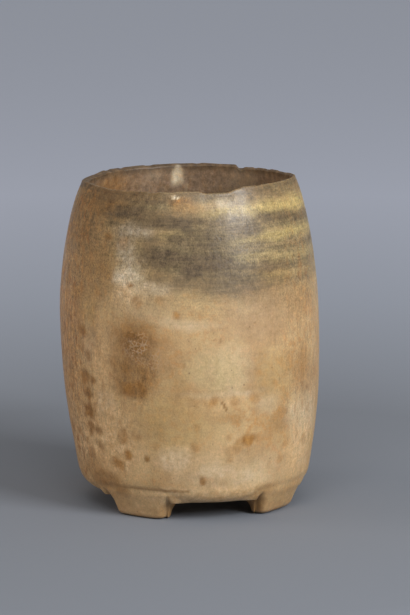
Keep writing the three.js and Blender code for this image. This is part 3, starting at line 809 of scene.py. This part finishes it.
# The colours laid over the ground colour in turn: the tint that places each one, its deep and its light
# tone, the texture that breaks it up, and how much of it shows where that texture is low and where high
CALCITE_COLOURS = (
    ("hollow", "#79634e", "#9a8168", "mottle", 0.85, 1.1),
    ("freckle", "#a8773f", "#c0905a", "blots", -1.2, 1.2),
    ("olive", "#85744f", "#a28f66", "beds", 0.7, 1.15),
    # cream stone, with painted highlight near the rim and painted floor light at the lower edge
    ("cream_and_painted_light", "#c8b391", "#e2d3b7", "mottle", 0.6, 1.2),
    ("sole", "#bd9264", "#dbb586", "mottle", 0.2, 0.9),
    # honey-coloured stone, with painted floor light low down
    ("honey_and_painted_light", "#cfa470", "#e8c898", "mottle", 0.5, 1.2),
    # brown stains, with painted shade on the feet and along the ledge
    ("umber_and_shade", "#7c5425", "#976c35", "mottle", 0.75, 1.1),
    ("ash", "#988870", "#b7a78d", "blots", 0.5, 1.2),
    ("ochre", "#b39a5e", "#cab276", "mottle", 0.5, 1.2),
    ("grey", "#524330", "#725f45", "beds", 0.7, 1.2),
    ("rust", "#98672f", "#b98849", "mottle", 0.5, 1.2),
    ("streak", "#7a5229", "#946838", "striae", -1.5, 1.2),
    # the dark band under the lip, deepened towards the back as painted shade
    ("edge", "#4d3c2a", "#6a543b", "mottle", 0.6, 1.15),
    ("chip", "#efe2c6", "#dcc096", "mottle", 0.8, 1.2),
)
# How far each texture swings the stone's tone: everywhere, and how much further where a tint shows
CALCITE_TONES = (
    ("clouds", 0.08, "olive", 0.0), ("beds", 0.14, "olive", 0.1), ("mottle", 0.2, "umber_and_shade", 0.1),
    ("blots", 0.24, "olive", 0.15), ("grain", 0.3, "olive", 0.4), ("grit", 0.5, "olive", 1.2),
    ("striae", 0.24, "streak", 1.6), ("scratches", 0.14, "olive", 0.8), ("grain", 0.0, "streak", 0.5),
    ("grit", 0.0, "streak", 1.2), ("hairs", 0.08, "streak", 1.1), ("blots", 0.0, "streak", 0.3),
)
# How high, in mm, each texture stands in the finest relief, which is too low to be shaped
CALCITE_RELIEF = (("mottle", 0.18), ("striae", 0.1), ("beds", 0.04), ("grain", 0.05), ("grit", 0.03))
SPECK_SPACING = 2.6
SPECK_SHARE = 0.45  # of the places for a speck that stay empty
SPECK_REACH = 0.18  # the largest speck's radius, as a share of the spacing
SPECK_COLOUR = "#5f4128"
CRUST_FLAKE = 1.7
CRUST_COLOUR = "#b59c7e"


def calcite_textures(tree, place):
    """The outputs of all the stone's textures."""
    textures = {}
    for name, (sizes, detail, tilt) in CALCITE_TEXTURES.items():
        mapping = add(tree, "ShaderNodeMapping", {
            "Vector": place, "Rotation": (tilt, 0.0, 0.0), "Scale": [1.0 / (size * MM) for size in sizes]})
        textures[name] = add(tree, "ShaderNodeTexNoise", {
            "Vector": mapping.outputs[0], "Scale": 1.0, "Detail": detail, "Roughness": 0.6}).outputs["Fac"]
    return textures


def layered_colour(tree, textures):
    """The clouded ground colour with every tint laid over it, deeper and lighter in blots."""
    cloudiness = add(tree, "ShaderNodeMapRange", {
        "Value": textures["clouds"], "From Min": 0.32, "From Max": 0.66})
    shade = add(tree, "ShaderNodeMapRange", {"Value": textures["blots"], "From Min": 0.3, "From Max": 0.7})
    deep, light = GROUND_TONES
    colour = add(tree, "ShaderNodeMix", {
        0: cloudiness.outputs[0], 6: linear(deep), 7: linear(light)}, data_type="RGBA").outputs[2]
    for name, deep, light, texture, least, most in CALCITE_COLOURS:
        painted = add(tree, "ShaderNodeAttribute", attribute_name=name).outputs["Fac"]
        broken = add(tree, "ShaderNodeMapRange", {
            "Value": textures[texture], "From Min": 0.3, "From Max": 0.65,
            "To Min": least, "To Max": most})
        factor = add(tree, "ShaderNodeMath", {
            0: painted, 1: broken.outputs[0]}, operation="MULTIPLY", use_clamp=True)
        tone = add(tree, "ShaderNodeMix", {
            0: shade.outputs[0], 6: linear(deep), 7: linear(light)}, data_type="RGBA")
        colour = add(tree, "ShaderNodeMix", {
            0: factor.outputs[0], 6: colour, 7: tone.outputs[2]}, data_type="RGBA").outputs[2]
    return colour


def specked(tree, place, colour):
    """The colour with small round specks of dirt in it, each of its own size."""
    cells = add(tree, "ShaderNodeTexVoronoi", {"Vector": place, "Scale": 1 / (SPECK_SPACING * MM)})
    chance = add(tree, "ShaderNodeSeparateXYZ", {0: cells.outputs["Color"]}).outputs[0]
    radius = add(tree, "ShaderNodeMapRange", {
        "Value": chance, "From Min": SPECK_SHARE, "To Min": 0.0, "To Max": SPECK_REACH})
    within = add(tree, "ShaderNodeMath", {
        0: radius.outputs[0], 1: cells.outputs["Distance"]}, operation="SUBTRACT")
    speck = add(tree, "ShaderNodeMapRange", {"Value": within.outputs[0], "From Max": 0.08, "To Max": 0.5})
    return add(tree, "ShaderNodeMix", {
        0: speck.outputs[0], 6: colour, 7: linear(SPECK_COLOUR)}, data_type="RGBA").outputs[2]


def crusted(tree, place, textures, colour):
    """The colour with the pale seams between the flakes of a thin crust, where the crust lies."""
    flakes = add(tree, "ShaderNodeTexVoronoi", {
        "Vector": place, "Scale": 1 / (CRUST_FLAKE * MM)}, feature="DISTANCE_TO_EDGE")
    seam = add(tree, "ShaderNodeMapRange", {
        "Value": flakes.outputs["Distance"], "From Min": 0.04, "From Max": 0.2,
        "To Min": 0.7, "To Max": 0.0})
    left = add(tree, "ShaderNodeMapRange", {
        "Value": textures["blots"], "From Min": 0.42, "From Max": 0.56})
    painted = add(tree, "ShaderNodeAttribute", attribute_name="crust").outputs["Fac"]
    crust = add(tree, "ShaderNodeMath", {0: left.outputs[0], 1: painted}, operation="MULTIPLY")
    pale = add(tree, "ShaderNodeMath", {0: seam.outputs[0], 1: crust.outputs[0]}, operation="MULTIPLY")
    return add(tree, "ShaderNodeMix", {
        0: pale.outputs[0], 6: colour, 7: linear(CRUST_COLOUR)}, data_type="RGBA").outputs[2]


def toned(tree, textures, colour):
    """The colour made lighter and darker by the textures, most of all among the beds and the streaks."""
    tone = 1.0
    for texture, share, name, more in CALCITE_TONES:
        painted = add(tree, "ShaderNodeAttribute", attribute_name=name).outputs["Fac"]
        gain = add(tree, "ShaderNodeMath", {0: painted, 1: more, 2: share}, operation="MULTIPLY_ADD")
        swing = add(tree, "ShaderNodeMath", {0: textures[texture], 1: 0.5}, operation="SUBTRACT")
        tone = add(tree, "ShaderNodeMath", {
            0: swing.outputs[0], 1: gain.outputs[0], 2: tone}, operation="MULTIPLY_ADD").outputs[0]
    return add(tree, "ShaderNodeVectorMath", {0: colour, "Scale": tone}, operation="SCALE").outputs[0]


def banded_calcite():
    """Banded calcite, ground and polished by hand: a soft waxy shine over clouded honey and cream.

    A little light gets in at its surface. Dull grey and ochre beds, brown and rust stains and fine upright
    grinding marks break up its colour. Some pale patches are painted highlight and painted floor light,
    and some brown marks on the feet and along the ledge are painted shade.
    """
    material = bpy.data.materials.new("banded_calcite")
    material.use_nodes = True
    tree = material.node_tree
    tree.nodes.clear()
    straight = add(tree, "ShaderNodeTexCoord").outputs["Object"]
    drift = add(tree, "ShaderNodeTexNoise", {
        "Vector": straight, "Scale": 1 / (DRIFT_SIZE * MM), "Detail": 2.0}).outputs["Color"]
    shift = add(tree, "ShaderNodeMix", {
        0: drift, 4: (-DRIFT * MM,) * 3, 5: (DRIFT * MM,) * 3,
    }, data_type="VECTOR", factor_mode="NON_UNIFORM")
    place = add(tree, "ShaderNodeVectorMath", {0: straight, 1: shift.outputs[1]}).outputs[0]
    textures = calcite_textures(tree, place)
    colour = specked(tree, place, layered_colour(tree, textures))
    colour = toned(tree, textures, crusted(tree, place, textures, colour))

    level = 0.0
    for texture, height in CALCITE_RELIEF:
        level = add(tree, "ShaderNodeMath", {
            0: textures[texture], 1: height * MM, 2: level}, operation="MULTIPLY_ADD").outputs[0]
    bump = add(tree, "ShaderNodeBump", {"Height": level, "Strength": 1.0, "Distance": 1.0})
    dullness = add(tree, "ShaderNodeMapRange", {
        "Value": textures["mottle"], "From Min": 0.3, "From Max": 0.7, "To Min": 0.32, "To Max": 0.5})
    shader = add(tree, "ShaderNodeBsdfPrincipled", {
        "Base Color": colour, "Roughness": dullness.outputs[0], "IOR": 1.5, "Normal": bump.outputs[0],
        "Subsurface Weight": 0.2, "Subsurface Radius": (1.0, 0.6, 0.3), "Subsurface Scale": 3.0 * MM})
    add(tree, "ShaderNodeOutputMaterial", {"Surface": shader.outputs[0]})
    return material


# The studio, in metres and degrees
CAMERA_AZIMUTH = -11.4
CAMERA_ELEVATION = 10.2
CAMERA_DISTANCE = 1.6
CAMERA_LENS = 217.0
AIM_RIGHT = 0.00705
AIM_HEIGHT = 0.0842
FLOOR_RADIUS = 12.0
# The floor's tones, paler further out as painted light where the lamps hardly reach: distance out from the
# vase, colour there
PAPER_PAINTED_LIGHT_TONES = ((0.2, "#7e838c"), (0.5, "#a7aebc"), (0.9, "#cbd2e4"), (2.2, "#e0e8fa"))
AIR_TONES = ("#5d5d5f", "#9f9e9c")
LAMP_AIM = 0.07  # the height that every lamp points at


def heading(azimuth, elevation):
    """The direction from the vase towards an azimuth, so many degrees above the ground."""
    a, e = np.radians(azimuth), np.radians(elevation)
    return Vector((np.sin(a) * np.cos(e), -np.cos(a) * np.cos(e), np.sin(e)))


def soft_box(name, azimuth, elevation, distance, size, power, colour, shine=True):
    """A soft square lamp, its size in metres and its power in watts. One without shine isn't mirrored."""
    light = bpy.data.lights.new(name, "AREA")
    light.size = size
    light.energy = power
    light.color = linear(colour)[:3]
    lamp = bpy.data.objects.new(name, light)
    lamp.visible_glossy = shine
    away = heading(azimuth, elevation)
    lamp.location = Vector((0, 0, LAMP_AIM)) + away * distance
    lamp.rotation_euler = away.to_track_quat("Z", "Y").to_euler()
    bpy.context.scene.collection.objects.link(lamp)


def studio_paper():
    """Matt grey studio paper, painted paler further out as light where the lamps round the vase hardly
    reach it.
    """
    material = bpy.data.materials.new("studio_paper")
    material.use_nodes = True
    tree = material.node_tree
    shader = tree.nodes["Principled BSDF"]
    place = add(tree, "ShaderNodeTexCoord").outputs["Object"]
    distance = add(tree, "ShaderNodeVectorMath", {0: place}, operation="LENGTH").outputs["Value"]
    colour = linear(PAPER_PAINTED_LIGHT_TONES[0][1])
    for (start, _), (end, tone) in zip(PAPER_PAINTED_LIGHT_TONES, PAPER_PAINTED_LIGHT_TONES[1:]):
        share = add(tree, "ShaderNodeMapRange", {"Value": distance, "From Min": start, "From Max": end})
        colour = add(tree, "ShaderNodeMix", {
            0: share.outputs[0], 6: colour, 7: linear(tone)}, data_type="RGBA").outputs[2]
    tree.links.new(colour, shader.inputs["Base Color"])
    shader.inputs["Roughness"].default_value = 0.9
    return material


def studio_air():
    """Even room light, brighter from above than from the sides."""
    world = bpy.data.worlds.new("studio")
    world.use_nodes = True
    tree = world.node_tree
    direction = add(tree, "ShaderNodeTexCoord").outputs["Object"]
    upwards = add(tree, "ShaderNodeSeparateXYZ", {0: direction}).outputs["Z"]
    share = add(tree, "ShaderNodeMapRange", {"Value": upwards, "From Min": 0.0, "From Max": 0.9})
    level, above = AIR_TONES
    colour = add(tree, "ShaderNodeMix", {
        0: share.outputs[0], 6: linear(level), 7: linear(above)}, data_type="RGBA").outputs[2]
    tree.links.new(colour, tree.nodes["Background"].inputs["Color"])
    return world


def studio():
    """A plain pale floor painted paler further out as light, a soft key light from the right, two weaker
    fills, and the camera.
    """
    turn = np.linspace(0.0, 2 * np.pi, 96, endpoint=False)
    disc = bpy.data.meshes.new("floor")
    edge = [(FLOOR_RADIUS * np.cos(t), FLOOR_RADIUS * np.sin(t), 0.0) for t in turn]
    disc.from_pydata(edge, [], [range(len(edge))])
    disc.materials.append(studio_paper())
    floor = bpy.data.objects.new("floor", disc)
    bpy.context.scene.collection.objects.link(floor)

    soft_box(
        "key", azimuth=36.0, elevation=28.0, distance=1.6, size=0.7, power=21.2, colour="#fdfeff")
    soft_box(
        "front_fill", azimuth=-16.0, elevation=48.0, distance=1.8, size=1.0, power=8.6, colour="#ffffff")
    soft_box(
        "left_fill", azimuth=-98.0, elevation=15.0, distance=1.8, size=0.8, power=9.6, colour="#fff0e0",
        shine=False)
    bpy.context.scene.world = studio_air()
    bpy.context.scene.view_settings.view_transform = "Standard"

    back = heading(CAMERA_AZIMUTH, CAMERA_ELEVATION)
    right = heading(CAMERA_AZIMUTH + 90.0, 0.0)
    camera = bpy.data.objects.new("camera", bpy.data.cameras.new("camera"))
    camera.data.lens = CAMERA_LENS
    camera.location = right * AIM_RIGHT + Vector((0, 0, AIM_HEIGHT)) + back * CAMERA_DISTANCE
    camera.rotation_euler = back.to_track_quat("Z", "Y").to_euler()
    bpy.context.scene.collection.objects.link(camera)
    bpy.context.scene.camera = camera


vase = weathered(build_stone(), {
    "Wave Width": 22 * MM, "Wave Height": 0.22 * MM, "Pit Spacing": 9 * MM, "Pit Radius": 1.5 * MM,
    "Pit Depth": 0.2 * MM, "Pit Share": 0.3, "Crust Grain": 2.4 * MM, "Crust Height": 0.5 * MM,
    "Seed": 3.0, "Material": banded_calcite(),
})
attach(vase, "root")
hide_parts("vase_body", "foot_front_left", "foot_front_right", "foot_rear_right", "foot_rear_left")
studio()
